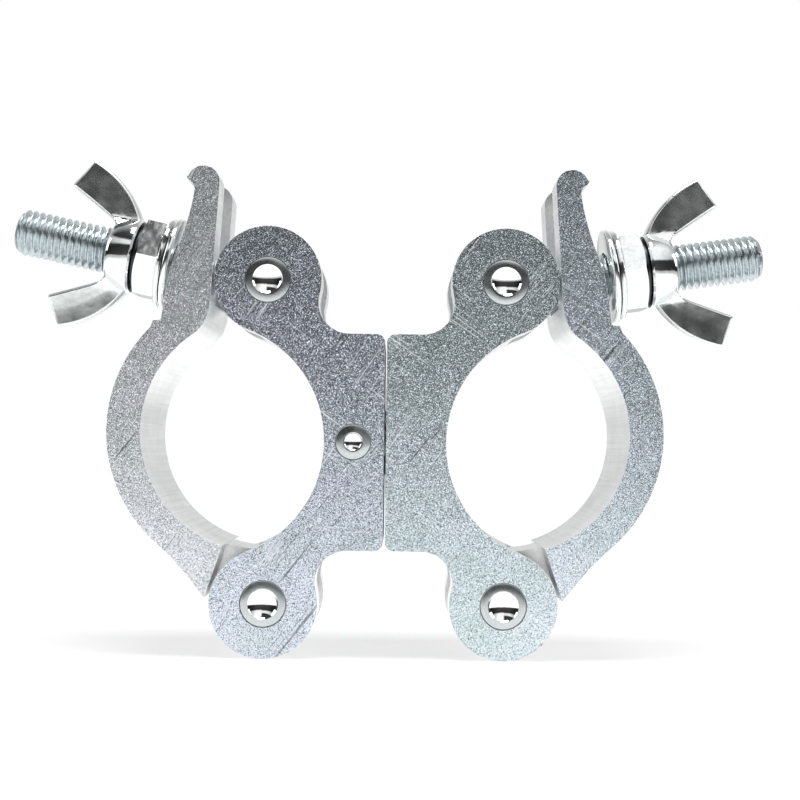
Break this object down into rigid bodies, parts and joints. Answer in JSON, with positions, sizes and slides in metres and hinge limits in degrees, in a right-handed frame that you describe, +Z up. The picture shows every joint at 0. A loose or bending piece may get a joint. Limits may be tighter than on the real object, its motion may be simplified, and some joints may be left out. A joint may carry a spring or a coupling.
{
  "type": "pipe clamp",
  "caption": "Slim aluminium swivel pipe clamp: two hinged half-couplers back to back on a pinned stud, each closed by a swing bolt with a wing nut.",
  "frame": {"origin": "middle of the bottom of the bounding box, on the surface under the two lower knuckles", "axes": "+X along the swivel axis from the half with the cross pin to the other half, +Y along the clamped tubes, +Z up towards the wing nuts"},
  "size_m": [0.1626, 0.0304, 0.1055],
  "materials": {
    "blasted_aluminium": "tumbled, fine grain, with light scratches",
    "threaded_zinc": "bluish white zinc plate on rolled thread",
    "bright_zinc": "bright zinc plate",
    "pin_steel": "bright, with dished ends",
    "bronze": "plain bearing bronze"
  },
  "bodies": {
    "left_half": {"left_saddle": "blasted_aluminium", "left_bolt_pivot_pin": "pin_steel", "left_jaw_hinge_pin": "pin_steel", "swivel_stud": "pin_steel", "stud_cross_pin": "pin_steel"},
    "right_half": {"right_saddle": "blasted_aluminium", "right_bolt_pivot_pin": "pin_steel", "right_jaw_hinge_pin": "pin_steel", "swivel_bush": "bronze", "swivel_thrust_washer": "bronze", "swivel_head_washer": "bright_zinc"},
    "left_jaw": {"left_jaw": "blasted_aluminium"},
    "left_swing_bolt": {"left_swing_bolt": "threaded_zinc"},
    "left_washer": {"left_washer": "bright_zinc"},
    "left_wing_nut": {"left_wing_nut": "bright_zinc"},
    "right_jaw": {"right_jaw": "blasted_aluminium"},
    "right_swing_bolt": {"right_swing_bolt": "threaded_zinc"},
    "right_washer": {"right_washer": "bright_zinc"},
    "right_wing_nut": {"right_wing_nut": "bright_zinc"}
  },
  "joints": [
    {"name": "swivel", "type": "hinge", "parent": "left_half", "child": "right_half", "pos_m": [-0.00021, 0, 0.04463], "axis": [1, 0, 0], "continuous": true},
    {"name": "left_nut_turn", "type": "hinge", "parent": "left_washer", "child": "left_wing_nut", "pos_m": [-0.02491, 0, 0.07808], "axis": [-0.9781, 0, 0.2079], "range_deg": [0, 6480]},
    {"name": "left_washer_slide", "type": "slide", "parent": "left_swing_bolt", "child": "left_washer", "axis": [-0.9781, 0, 0.2079], "range_m": [0, 0.027]},
    {"name": "left_bolt_swing", "type": "hinge", "parent": "left_half", "child": "left_swing_bolt", "pos_m": [-0.02491, 0, 0.07808], "axis": [0, 1, 0], "range_deg": [0, 100]},
    {"name": "left_jaw_hinge", "type": "hinge", "parent": "left_half", "child": "left_jaw", "pos_m": [-0.02491, 0, 0.01118], "axis": [0, -1, 0], "range_deg": [0, 105]},
    {"name": "right_nut_turn", "type": "hinge", "parent": "right_washer", "child": "right_wing_nut", "pos_m": [0.02449, 0, 0.07808], "axis": [0.9903, 0, 0.1392], "range_deg": [0, 6480]},
    {"name": "right_washer_slide", "type": "slide", "parent": "right_swing_bolt", "child": "right_washer", "axis": [0.9903, 0, 0.1392], "range_m": [0, 0.027]},
    {"name": "right_bolt_swing", "type": "hinge", "parent": "right_half", "child": "right_swing_bolt", "pos_m": [0.02449, 0, 0.07808], "axis": [0, -1, 0], "range_deg": [0, 100]},
    {"name": "right_jaw_hinge", "type": "hinge", "parent": "right_half", "child": "right_jaw", "pos_m": [0.02449, 0, 0.01118], "axis": [0, 1, 0], "range_deg": [0, 105]}
  ],
  "couplings": [
    {"joint": "left_washer_slide", "follows": "left_nut_turn", "m_per_rad": 0.00023873},
    {"joint": "left_bolt_swing", "follows": "left_nut_turn", "ratio": 0.0069444},
    {"joint": "left_jaw_hinge", "follows": "left_nut_turn", "ratio": 0.0021605},
    {"joint": "right_washer_slide", "follows": "right_nut_turn", "m_per_rad": 0.00023873},
    {"joint": "right_bolt_swing", "follows": "right_nut_turn", "ratio": 0.0069444},
    {"joint": "right_jaw_hinge", "follows": "right_nut_turn", "ratio": 0.0021605}
  ]
}
